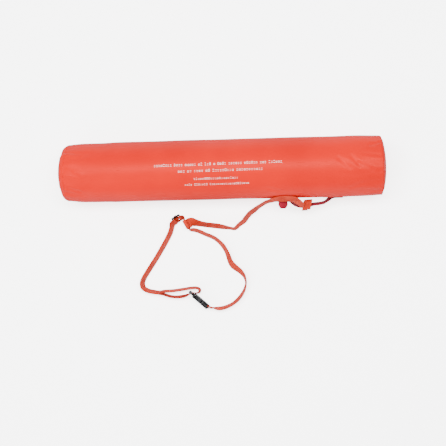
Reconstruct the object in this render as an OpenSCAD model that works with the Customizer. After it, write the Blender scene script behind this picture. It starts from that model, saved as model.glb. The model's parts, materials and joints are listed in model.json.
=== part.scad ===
// Inflatable rescue tube (swimmer's tow float): a long air-filled tube with a webbing grab
// handle, an inflation valve, a short leash and a waist belt with a tri-glide and a
// side-release buckle. The tube lies on its side along X, resting on the plane z = 0.
// Millimetres, +Z up. Origin: under the middle of the tube and its handle.

/* [Tube] */
// Overall length of the inflated tube
tube_len = 830; // [780:10:860]
// Diameter of the inflated tube
tube_d = 153; // [153:1:153]
// Thickness of the coated skin
skin_t = 0.6; // [0.4:0.1:0.8]
// Distance from each end of the tube to its circular weld
seam_inset = 26; // [24:1:28]
// How much the radius shrinks towards each end weld
end_taper = 4.0; // [3.6:0.1:4.4]
// Width of the lengthwise weld strip
strip_w = 12; // [8:1:16]

/* [Handle] */
// How far the handle stands off the side of the tube
handle_out = 26; // [26:1:26]
// Width of the handle webbing
handle_w = 25; // [20:1:25]
// Thickness of the handle webbing
handle_t = 2.2; // [1.8:0.1:2.4]
// Thickness of the welded patches under the handle ends
patch_t = 0.8; // [0.5:0.1:0.8]

/* [Valve] */
// Distance of the valve from the middle of the tube
valve_x = 320; // [280:10:330]
// How far the valve stem pops out
stem_travel = 8; // [6:1:8]
// How far the plug pulls out of the stem
plug_travel = 14; // [13:1:16]

/* [Webbing] */
// Width of the leash and belt webbing
web_w = 25; // [24:0.5:25]
// Thickness of the leash and belt webbing
web_t = 1.6; // [1.4:0.1:1.6]

/* [Buckle] */
// Length of the buckle's female half
female_len = 42; // [42:1:42]
// Width of the buckle
buckle_w = 33; // [32:1:33]
// Thickness of the buckle
buckle_t = 11; // [10:0.5:11]
// How far the male half slides out
release_travel = 30; // [28:1:34]

/* [Tri-glide] */
// Length of the tri-glide along the webbing
glide_len = 24; // [24:1:24]
// Width of the tri-glide across the webbing
glide_w = 31; // [30:1:31]

/* [Hidden] */

$fn = 96;
orange = [0.98, 0.30, 0.14];
strap_orange = [0.93, 0.37, 0.20];
crimson = [0.58, 0.05, 0.16];
black = [0.05, 0.05, 0.06];
pale = [0.92, 0.93, 0.93];

tube_r = tube_d / 2;
half_len = tube_len / 2;
axis_y = handle_out / 2;   // the tube's axis sits this far behind the origin
taper_start = 75;          // from the end of the tube
lap = 12;                  // how far the end cap's skirt reaches under the skin
lap_gap = 0.1;

// ---------- tube ----------

// Outer radius of the skin at distance s from the end of the tube.
function skin_r(s) =
    s >= taper_start ? tube_r : tube_r - end_taper * pow((taper_start - s) / 50, 2.2);

skin_stations = [taper_start, 65, 56, 48, 41, 35, 30, seam_inset];

// Half of the skin's outline, from the middle to the weld, as [radius, place along the tube].
function skin_line(inset) = [for (s = skin_stations) [skin_r(s) - inset, half_len - s]];

function flipped(points) = [for (i = [len(points) - 1:-1:0]) [points[i][0], -points[i][1]]];

function reversed(points) = [for (i = [len(points) - 1:-1:0]) points[i]];

dome_r = 165;              // spherical middle of the end disc
dome_edge = 62;            // radius at which the disc turns into its rounded corner
corner_r = 16.6;
corner_from = asin(dome_edge / dome_r);
corner_to = 78;
corner_s = dome_r - (dome_r - corner_r) * cos(corner_from);
corner_c = (dome_r - corner_r) * sin(corner_from);
skirt_stations = [seam_inset, 30, 34, seam_inset + lap];

// End cap outline from its centre to the edge of its skirt, moved in by inset.
function cap_line(inset) = concat(
    [for (k = [0:6]) let (a = corner_from * k / 6)
        [(dome_r - inset) * sin(a), half_len - dome_r + (dome_r - inset) * cos(a)]],
    [for (k = [1:8]) let (a = corner_from + (corner_to - corner_from) * k / 8)
        [corner_c + (corner_r - inset) * sin(a), half_len - corner_s + (corner_r - inset) * cos(a)]],
    [for (s = skirt_stations) [skin_r(s) - skin_t - lap_gap - inset, half_len - s]]
);

// Puts a shape made around +Z onto the tube's axis, with its +Z along +X.
module along_tube() {
    translate([0, axis_y, tube_r]) rotate([0, 90, 0]) children();
}

// Faces out of the tube at a point of its side: +Z is the outward normal.
// angle is measured down from the horizontal, on the +Y side.
module on_tube_side(x, angle) {
    translate([x, axis_y, tube_r]) rotate([-90 - angle, 0, 0]) children();
}

module sector(r_in, r_out, x_from, x_to, angle_from, angle_to) {
    translate([x_from, axis_y, tube_r])
        rotate([0, 90, 0])
            rotate([0, 0, angle_from])
                rotate_extrude(angle = angle_to - angle_from)
                    translate([r_in, 0])
                        square([r_out - r_in, x_to - x_from]);
}

valve_angle = 30;          // below the horizontal, on the +Y side
skin_hole_r = 11.5;

module tube_skin() {
    color(orange)
        difference() {
            along_tube()
                rotate_extrude()
                    polygon(concat(
                        reversed(skin_line(0)), reversed(flipped(skin_line(0))),
                        flipped(skin_line(skin_t)), skin_line(skin_t)
                    ));
            on_tube_side(valve_x, valve_angle)
                translate([0, 0, tube_r - 15]) cylinder(r = skin_hole_r, h = 30);
        }
}

module end_cap() {
    along_tube()
        rotate_extrude()
            polygon(concat(cap_line(0), reversed(cap_line(skin_t))));
}

module end_cap_right() { color(orange) end_cap(); }
module end_cap_left() { color(orange) mirror([1, 0, 0]) end_cap(); }

strip_angle = 56;          // below the horizontal, on the +Y side
strip_t = 0.5;
strip_half_len = 335;

// In sector(), 0 degrees points down, and angles grow towards +Y.
module seam_strip() {
    half = strip_w / tube_r * 90 / PI;
    middle = 90 - strip_angle;
    color(orange)
        sector(tube_r + 0.05, tube_r + 0.05 + strip_t, -strip_half_len, strip_half_len,
            middle - half, middle + half);
}

// ---------- webbing ----------

// A route is a list of [x, y, z, lean]: the middle of the webbing, and the angle in degrees by
// which its upper edge leans to the left of the way the route runs. The webbing stands on
// edge where lean is 0 and lies flat where it is 90. A fifth value turns the webbing's end
// face to that heading in plan, so that two pieces can meet face to face.
function unit(v) = v / norm(v);
function place(p) = [p[0], p[1], p[2]];
function heading(route, i) =
    len(route[i]) > 4 ? [cos(route[i][4]), sin(route[i][4]), 0] :
    unit(place(route[min(i + 1, len(route) - 1)]) - place(route[max(i - 1, 0)]));
function left_of(t) = unit(cross([0, 0, 1], t));
function width_way(t, lean) = cos(lean) * cross(t, left_of(t)) + sin(lean) * left_of(t);

// The eight corners of the webbing's section: [along its width, through its thickness].
function web_section(w, t) =
    let (a = w / 2, b = t / 2, c = t / 4)
    [[a - c, b], [c - a, b], [-a, b - c], [-a, c - b], [c - a, -b], [a - c, -b], [a, c - b], [a, b - c]];

function web_ring(route, i, w, t) =
    let (h = heading(route, i), across = width_way(h, route[i][3]), face = cross(h, across))
    [for (q = web_section(w, t)) place(route[i]) + q[0] * across + q[1] * face];

module webbing(route, w = web_w, t = web_t) {
    n = 8;
    rings = len(route);
    points = [for (i = [0:rings - 1]) each web_ring(route, i, w, t)];
    walls = [for (i = [0:rings - 2], k = [0:n - 1])
        let (a = i * n + k, b = i * n + (k + 1) % n) each [[a, b, b + n], [a, b + n, a + n]]];
    first = [for (k = [1:n - 2]) [0, k + 1, k]];
    last = [for (k = [1:n - 2]) [(rings - 1) * n, (rings - 1) * n + k, (rings - 1) * n + k + 1]];
    polyhedron(points = points, faces = concat(first, walls, last), convexity = 4);
}

// A route [x, y, z] moved sideways to its left by d, with one lean, without its first point.
function beside(plan, d, lean) =
    [for (i = [1:len(plan) - 1])
        let (t = unit(plan[min(i + 1, len(plan) - 1)] - plan[i - 1]))
        [plan[i][0] - d * t[1], plan[i][1] + d * t[0], plan[i][2], lean]];

// A point [u, v] of the tri-glide's own plan.
function glide_point(u, v) = [
    glide_at[0] + u * cos(glide_angle) - v * cos(glide_lean) * sin(glide_angle),
    glide_at[1] + u * sin(glide_angle) + v * cos(glide_lean) * cos(glide_angle),
    glide_at[2] + v * sin(glide_lean)];

// Points [u, v] of a fitting's own plan turned into a route at that fitting.
function at_fitting(centre, angle, plan, lean) =
    [for (p = plan) [
        centre[0] + p[0] * cos(angle) - p[1] * sin(angle),
        centre[1] + p[0] * sin(angle) + p[1] * cos(angle),
        centre[2], lean]];

// ---------- handle ----------

handle_z = 47.5;

left_tail_route = [
    [134, -58.9, 44.5, -24], [148, -58.9, 44.5, -24], [159, -58.9, 44.5, -24], [165, -60.3, 44.9, -23],
    [168.5, -63.2, 45.5, -21], [174, -68.7, 46.4, -18, 0]
];
right_tail_route = [
    [264.5, -71.5, 47, -17, 0], [269, -68.3, 46, -20], [274, -63.8, 45, -23], [280, -60, 44.5, -24],
    [290, -58.9, 44.5, -24], [304, -58.9, 44.5, -24]
];
grip_route = [
    [174.4, -69.2, 46.4, -18, 0], [179.5, -74.8, 47.3, -16], [186.3, -79.3, 47.5, -18], [194.3, -82, 47.5, -20],
    [202, -83.3, 47.5, -20], [210.5, -83.5, 47.5, -20], [222, -81, 47.5, -20], [233, -78.3, 47.5, -20],
    [246.6, -77, 47.5, -20], [257.5, -75, 47.3, -19], [264.1, -71.9, 47, -17, 0]
];

module handle_tail_left() { color(crimson) webbing(left_tail_route, handle_w, handle_t); }
module handle_tail_right() { color(crimson) webbing(right_tail_route, handle_w, handle_t); }
module handle_grip() { color(crimson) webbing(grip_route, handle_w, handle_t); }

patch_len = 64;
patch_low = 38;            // degrees below the horizontal
patch_high = -8;           // degrees below the horizontal, so just above it

// A welded patch around x, on the -Y side.
module handle_patch(x) {
    sector(tube_r + 0.05, tube_r + 0.05 + patch_t, x - patch_len / 2, x + patch_len / 2,
        patch_low - 90, patch_high - 90);
}

module handle_patch_left() { color(orange) handle_patch(156); }
module handle_patch_right() { color(orange) handle_patch(286); }

tab_x = 155;
tab_w = 24;
tab_z = 68;
tab_reach = -89.5;         // where the fold of the tab ends
tab_inner_r = 2;
tab_outer_r = tab_inner_r + handle_t;

function arc(centre, r, from, to, steps) =
    [for (k = [0:steps]) let (a = from + (to - from) * k / steps)
        [centre[0] + r * cos(a), centre[1] + r * sin(a)]];

// The handle's folded end: two layers that end at the tube's patch, joined by a round fold.
module handle_tab() {
    fold = [tab_reach + tab_outer_r, tab_z];
    tip = [tab_x, tab_reach + tab_w / 2 - 0.02];
    color(crimson)
        intersection() {
            translate([tab_x - tab_w / 2, 0, 0])
                rotate([90, 0, 90])
                    linear_extrude(tab_w)
                        polygon(concat(
                            [[-64.5, tab_z + tab_outer_r]],
                            arc(fold, tab_outer_r, 90, 270, 12),
                            [[-63.6, tab_z - tab_outer_r], [-63.9, tab_z - tab_inner_r]],
                            arc(fold, tab_inner_r, 270, 90, 12),
                            [[-64.35, tab_z + tab_inner_r]]
                        ));
            translate([0, 0, tab_z - 10])
                linear_extrude(20)
                    polygon(concat(
                        arc(tip, tab_w / 2 + 0.5, 180, 360, 24),
                        [[tab_x + tab_w, -40], [tab_x - tab_w, -40]]
                    ));
        }
}

// ---------- valve ----------

neck_bore_r = 8.05;
stem_r = 8;
stem_bore_r = 4.6;
pin_r = 4.55;
neck_top = tube_r + 0.6;
flange_z = tube_r - 4.8;
stem_foot = tube_r - 19;

module valve_flange() {
    color(pale)
        on_tube_side(valve_x, valve_angle)
            difference() {
                union() {
                    translate([0, 0, flange_z]) cylinder(r = 20, h = 1);
                    translate([0, 0, flange_z - 4]) cylinder(r = 11.2, h = neck_top - flange_z + 4);
                }
                translate([0, 0, flange_z - 5]) cylinder(r = neck_bore_r, h = 20);
            }
}

module valve_stem() {
    color(pale)
        on_tube_side(valve_x, valve_angle)
            difference() {
                union() {
                    translate([0, 0, stem_foot]) cylinder(r = stem_r, h = neck_top - stem_foot + 1);
                    translate([0, 0, neck_top + 0.3]) cylinder(r = 10.5, h = 1.2);
                    translate([0, 0, stem_foot]) cylinder(r = 9.4, h = 1.6);
                }
                translate([0, 0, stem_foot - 1]) cylinder(r = stem_bore_r, h = 30);
            }
}

module valve_flap() {
    color(pale)
        on_tube_side(valve_x, valve_angle)
            translate([0, 0, stem_foot - 0.8]) cylinder(r = 6.4, h = 0.7);
}

head_z = neck_top + 1.8;

module valve_plug() {
    color(pale)
        on_tube_side(valve_x, valve_angle)
            difference() {
                union() {
                    translate([0, 0, head_z]) cylinder(r = 9, h = 1.6);
                    translate([0, 0, head_z - 11]) cylinder(r = pin_r, h = 11.5);
                }
                translate([0, 0, head_z - 12]) cylinder(r = 2.6, h = 11);
            }
}

// A short flexible strap from the stem's collar to the plug's head.
module plug_tether() {
    color(pale)
        on_tube_side(valve_x, valve_angle)
            translate([0, -2, 0]) {
                translate([10.6, 0, neck_top + 0.4]) cube([3.4, 4, 0.9]);
                translate([13, 0, neck_top + 0.4]) cube([1, 4, 2.6]);
                translate([9.1, 0, neck_top + 2.1]) cube([4.9, 4, 0.9]);
            }
}

// ---------- leash ----------

leash_route = [
    [207.6, -84.5, 73, -20, 180], [203, -82.5, 75, -24], [197.5, -78, 78.5, -28],
    [190.5, -73, 83, -31], [183, -69.2, 88, -32], [173, -67.7, 91, -30],
    [164, -66.9, 91.5, -30], [152, -66.9, 90.5, -29], [141, -67.5, 87.5, -25],
    [132, -68.5, 82.5, -20], [123.5, -70.19, 76.31, -16], [113, -72.67, 68.12, -14],
    [100.5, -78.06, 57.94, -14], [88.5, -84.55, 47.75, -19], [78.5, -91.44, 39.06, -25],
    [68.8, -98.62, 30.38, -24], [60, -107.31, 21.69, -24], [52, -116.5, 14.5, -25],
    [40, -125.4, 12.8, -20], [32.5, -132.5, 12.8, -18], [27.5, -135.4, 12.8, -15],
    [15, -133.3, 12.8, -15], [-2, -130, 12.6, -25], [-19, -127, 12.4, -29],
    [-44, -123.6, 12.4, -29], [-61, -120.4, 12.6, -33], [-74, -117.2, 13.6, -45],
    [-85, -115.4, 14.8, -66], [-92.7, -119.2, 15.4, -88, 210]
];

module leash_webbing() { color(strap_orange) webbing(leash_route); }

module round_square(w, h, r) {
    square([w - 2 * r, h], center = true);
    square([w, h - 2 * r], center = true);
    for (x = [-1, 1], y = [-1, 1])
        translate([x * (w / 2 - r), y * (h / 2 - r)]) circle(r = r, $fn = 48);
}

// A flattened loop of webbing, its axis along Z, length w.
module web_loop(size_x, size_y, r, w) {
    linear_extrude(w)
        difference() {
            round_square(size_x, size_y, r);
            round_square(size_x - 2 * web_t, size_y - 2 * web_t, r - web_t);
        }
}

hitch_x = 208;
hitch_w = 18;

// The leash's loop around the grab handle.
module leash_hitch() {
    color(strap_orange)
        translate([hitch_x, -79.3, handle_z + 2])
            rotate([90, 0, 90])
                web_loop(25.4, 36, 8, hitch_w);
}

collar_at = [-97.2, -121.8];
collar_angle = -60;
collar_w = 24;

// The sewn loop at the leash's far end, through which the belt runs.
module leash_end_loop() {
    color(strap_orange)
        translate([collar_at[0], collar_at[1], 15.6])
            rotate([0, 0, collar_angle])
                translate([-collar_w / 2, 0, 0])
                    rotate([90, 0, 90])
                        web_loop(9.6, 30.4, 3.6, collar_w);
}

stitch_gap = 0.14;         // clears the slight twist of the webbing

// A bar of stitching on both faces of a route between two of its points.
module bar_tack(route, i, share, w, proud = 0.35) {
    p = place(route[i]) * (1 - share) + place(route[i + 1]) * share;
    lean = route[i][3] * (1 - share) + route[i + 1][3] * share;
    way = place(route[i + 1]) - place(route[i]);
    for (side = [-1, 1])
        translate(p)
            rotate([0, 0, atan2(way[1], way[0])])
                rotate([0, -asin(way[2] / norm(way)), 0])
                    rotate([-lean, 0, 0])
                        translate([0, side * (web_t / 2 + stitch_gap + proud / 2), 0])
                            cube([1.6, proud, w], center = true);
}

module leash_stitching() {
    color(strap_orange) {
        bar_tack(leash_route, 6, 0.3, 17);
        bar_tack(leash_route, 6, 0.55, 17);
        bar_tack(leash_route, 24, 0.3, 19);
        bar_tack(leash_route, 24, 0.6, 19);
    }
}

// ---------- belt ----------

glide_at = [-122, -107, 15.4];
glide_angle = 30;
glide_lean = -23;   // its upper edge leans to the outside of the belt
buckle_at = [-68, -317, 16.9];
buckle_angle = -41.5;
male_bar_u = 29.4;
male_bar_r = 1.7;
male_bar = [
    buckle_at[0] + male_bar_u * cos(buckle_angle),
    buckle_at[1] + male_bar_u * sin(buckle_angle),
    buckle_at[2]
];
pull_angle = -11.5;        // the way the belt leaves the buckle's male half

wrap_r = 2.75;             // middle of webbing that goes round a bar

// Around the tri-glide's middle bar, from the sewn tail to the leg that leaves it.
glide_fold_plan = concat(
    [[-0.4, -5.3], [1.6, -4.7], [wrap_r, -2.5]],
    [for (a = [0:45:180]) [wrap_r * cos(a), wrap_r * sin(a)]],
    [[-wrap_r, -2.5], [-4, -4.8], [-7, -5.5], [-11.5, -5.5]]
);

// Through the tri-glide, over the fold, from the long run's end to the free run's.
weave_plan = [
    [13, -3.3], [8.4, -3.3], [6.2, -2.2], [5.5, 0], [5.2, 2.2], [3.6, 4.3], [0, 4.9],
    [-3.6, 4.3], [-5.2, 2.2], [-5.5, 0], [-6.2, -2.2], [-8.4, -3.3], [-13, -3.3]
];

// Around the end bar of the buckle's male half, from the sewn tail to the long run.
male_fold_plan = concat(
    [[14, -0.95], [8, -1], [4, -2.2]],
    [for (a = [270:-45:90]) [wrap_r * cos(a), wrap_r * sin(a)]],
    [[4, 2.2], [8, 1], [14, 0.95]]
);

// Middle of the pair of runs between the tri-glide and the buckle.
pair_route = [
    [-133, -122, 16.8], [-136, -129, 16], [-140.4, -142.5, 14.8], [-147.4, -156.5, 13.6],
    [-157.6, -174.5, 12.8], [-168.4, -192.5, 12.6], [-180, -211.1, 12.6], [-192.2, -229.5, 12.6],
    [-202.6, -245.3, 12.6], [-211.3, -259.5, 12.6], [-215.9, -273, 12.6], [-213, -284.8, 12.6],
    [-203, -291.6, 12.6], [-188.5, -295.6, 12.6], [-171, -298, 12.6]
];
pair_half = 1.05;
pair_lean = -17;

sewn_run_route = concat(
    [
        [each glide_point(-11.8, -5.5), -23, 210], [-131.9, -119.5, 17.1, -23],
        [-133.2, -122.9, 16.7, -18]
    ],
    beside(pair_route, pair_half, pair_lean),
    [
        [-160, -294.8, 12.8, -15], [-134, -293.4, 12.8, -15], [-108, -290, 13.2, -15],
        [-88, -287.2, 14.6, -12], [-75, -286.8, 15.8, -7], [-67.6, -289.2, 16.5, -2],
        [-65.2, -293.6, 16.9, 0], [-67.2, -298.6, 16.9, 0], [-74, -300.4, 16.9, 0],
        [-81, -299.2, 16.9, 0], [-86.5, -300.4, 16.9, 0, 200]
    ]
);

free_run_route = concat(
    [
        [-86.7, -300.5, 16.9, 0, 200], [-92, -303, 16.9, 0], [-99, -305.8, 16, 7],
        [-111, -308.6, 14, 12], [-131, -309.5, 12.8, 13], [-145, -307.4, 12.8, 12],
        [-159, -302.6, 12.8, 11]
    ],
    reversed(beside(pair_route, -pair_half, -pair_lean)),
    [
        [-136.4, -122.2, 16.5, 18], [-134.7, -118.4, 16.5, 23],
        [each glide_point(-13.2, -3.3), 23, 30]
    ]
);

// Leans change sign where a route runs the other way.
long_run_route = [
    [each glide_point(13.2, -3.3), 23, 30],
    [-106.3, -101.7, 16.4, 15], [-103.9, -101.9, 16.3, 8], [-102.9, -104.1, 16.1, 4],
    [-103.6, -107.8, 15.9, 0], [-103, -111.6, 15.6, 0],
    [-97.2, -121.8, 15.4, 0], [-91.5, -131.8, 15.2, 0], [-89.2, -134.6, 14.8, 3],
    [-85.3, -135.8, 14.2, 9], [-79, -136.2, 13.4, 16], [-71, -138, 12.8, 22],
    [-60, -142.4, 12.6, 23], [-48.5, -148, 12.6, 22], [-27.5, -157.2, 12.5, 23],
    [-14.2, -167.2, 12.5, 24], [-3.4, -178.6, 12.4, 27], [4.6, -192, 12.4, 27],
    [10, -205, 12.2, 31], [16, -221.8, 12, 35], [22.2, -230.8, 11.8, 40],
    [30.6, -238, 11.9, 36], [40.6, -246, 12, 31], [49.2, -256.2, 12.5, 22],
    [53.6, -267.4, 12.8, 13], [54.6, -277, 12.8, 10], [50.1, -294.4, 12.8, 16],
    [42.4, -307.5, 12.6, 20], [33.6, -318, 12.6, 21], [17.7, -330.6, 12.6, 19],
    [-4, -339.4, 13.4, 16], [-19, -341, 15.4, 11], [-31.6, -338.65, 16.9, 0, 168.5]
];

module belt_long_run() { color(strap_orange) webbing(long_run_route); }
module belt_free_run() { color(strap_orange) webbing(free_run_route); }
module belt_sewn_run() { color(strap_orange) webbing(sewn_run_route); }

module belt_slider_weave() {
    color(strap_orange) glide_frame() standing_route(weave_plan);
}

module belt_slider_fold() {
    color(strap_orange) glide_frame() standing_route(glide_fold_plan);
}

module belt_buckle_fold() {
    color(strap_orange) webbing(at_fitting(male_bar, pull_angle, male_fold_plan, 0));
}

// Webbing on edge along a plan [u, v], about the frame's origin.
module standing_route(plan) { webbing([for (p = plan) [p[0], p[1], 0, 0]]); }

stitch_proud = 0.3;

// Stitching stands off both faces of the sewn folds.
module belt_stitching() {
    color(strap_orange)
        translate(male_bar)
            rotate([0, 0, pull_angle])
                for (u = [9.5, 12.5], side = [-1, 1])
                    translate([u, side * (0.95 + web_t / 2 + 0.15 + stitch_proud / 2), 0])
                        cube([1.4, stitch_proud, 19], center = true);
}

// ---------- tri-glide ----------

// +X along the webbing, +Z across it, +Y to the outside of the belt.
module glide_frame() {
    translate(glide_at) rotate([0, 0, glide_angle]) rotate([glide_lean, 0, 0]) children();
}

glide_t = 4;
glide_bar_r = 1.6;
glide_slot_h = 25.8;

module tri_glide() {
    slot_from = glide_bar_r;
    slot_to = glide_len / 2 - 4;
    color(black)
        glide_frame()
            union() {
                rotate([90, 0, 0])
                    translate([0, 0, -glide_t / 2])
                        linear_extrude(glide_t)
                            difference() {
                                round_square(glide_len, glide_w, 3);
                                square([2 * slot_to, glide_slot_h], center = true);
                            }
                cylinder(r = glide_bar_r, h = glide_slot_h + 0.4, center = true, $fn = 48);
            }
}

// ---------- buckle ----------

// +X from the female half's end bar to the male half's, +Z across the webbing.
module buckle_frame() {
    translate(buckle_at) rotate([0, 0, buckle_angle]) children();
}

mouth_u = 10;
tail_t = 5;
cheek = 3;
plate = 2.2;
window_from = -14;
window_to = -1.5;
slot_h = 26.4;

// A flat plate shape in U and Z, t thick about the buckle's middle.
module slab(t) {
    translate([0, t / 2, 0]) rotate([90, 0, 0]) linear_extrude(t) children();
}

module buckle_female() {
    back_u = mouth_u - female_len;
    shell_back = -18;
    color(black)
        buckle_frame()
            difference() {
                union() {
                    slab(buckle_t)
                        translate([(shell_back + mouth_u) / 2, 0])
                            round_square(mouth_u - shell_back, buckle_w, 3);
                    slab(tail_t)
                        translate([(back_u + shell_back + 6) / 2, 0])
                            round_square(shell_back + 6 - back_u, buckle_w - 1, 3);
                }
                // cavity for the prongs, open at the mouth
                translate([-15, plate - buckle_t / 2, cheek - buckle_w / 2])
                    cube([mouth_u + 16, buckle_t - 2 * plate, buckle_w - 2 * cheek]);
                // side windows for the prongs' buttons
                translate([window_from, plate - buckle_t / 2, -buckle_w / 2 - 1])
                    cube([window_to - window_from, buckle_t - 2 * plate, buckle_w + 2]);
                // webbing slot
                translate([-28.4, -buckle_t, -slot_h / 2])
                    cube([8, 2 * buckle_t, slot_h]);
            }
}

prong_root_u = 8;
prong_root_z = 9.6;
prong_root_r = 1.7;
prong_t = 5.2;

module buckle_male() {
    base_from = mouth_u + 0.4;
    base_to = 17;
    end_u = 32;
    color(black)
        buckle_frame()
            difference() {
                union() {
                    slab(buckle_t)
                        translate([(base_from + base_to) / 2, 0])
                            round_square(base_to - base_from, buckle_w, 2);
                    slab(tail_t)
                        translate([(base_to - 4 + end_u) / 2, 0])
                            round_square(end_u - base_to + 4, buckle_w - 1, 2.5);
                    // guide tongue
                    translate([-12, -2, -2.6]) cube([base_from + 13, 4, 5.2]);
                    // root block behind the prongs
                    translate([6, -prong_t / 2, -12.8]) cube([base_from - 5, prong_t, 25.6]);
                }
                // webbing slot, open to the end bar
                translate([19.6, -buckle_t, -slot_h / 2])
                    cube([20, 2 * buckle_t, slot_h]);
                // pockets in which the prongs' roots flex
                for (side = [-1, 1])
                    translate([prong_root_u, 0, side * prong_root_z])
                        rotate([90, 0, 0])
                            cylinder(r = prong_root_r + 0.35, h = 20, center = true, $fn = 48);
                for (side = [-1, 1])
                    translate([5, -10, side * prong_root_z - 3.2]) cube([3, 20, 6.4]);
            }
    // end bar for the belt's fold
    color(black)
        buckle_frame()
            translate([male_bar_u, 0, 0])
                cylinder(r = male_bar_r, h = slot_h + 0.4, center = true, $fn = 48);
}

// The prong above the middle, its root a round boss on the axis that it flexes about.
module prong() {
    slab(prong_t) {
        translate([prong_root_u, prong_root_z]) circle(r = prong_root_r, $fn = 48);
        polygon([
            [prong_root_u, prong_root_z - prong_root_r], [prong_root_u, prong_root_z + prong_root_r],
            [-2, 12.3], [-2, 15], [-6, 15], [-11, 13.4], [-12.8, 11.2], [-12, 8.8],
            [-5, prong_root_z - prong_root_r]
        ]);
    }
}

module prong_upper() { color(black) buckle_frame() prong(); }
module prong_lower() { color(black) buckle_frame() mirror([0, 0, 1]) prong(); }

tube_skin();
end_cap_left();
end_cap_right();
seam_strip();
handle_patch_left();
handle_patch_right();
handle_tail_left();
handle_tail_right();
handle_tab();
handle_grip();
valve_flange();
valve_stem();
valve_flap();
valve_plug();
plug_tether();
leash_hitch();
leash_webbing();
leash_end_loop();
leash_stitching();
belt_long_run();
belt_slider_weave();
belt_free_run();
belt_sewn_run();
belt_slider_fold();
belt_buckle_fold();
belt_stitching();
tri_glide();
buckle_female();
buckle_male();
prong_upper();
prong_lower();
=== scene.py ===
import json
import math
import random

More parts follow.
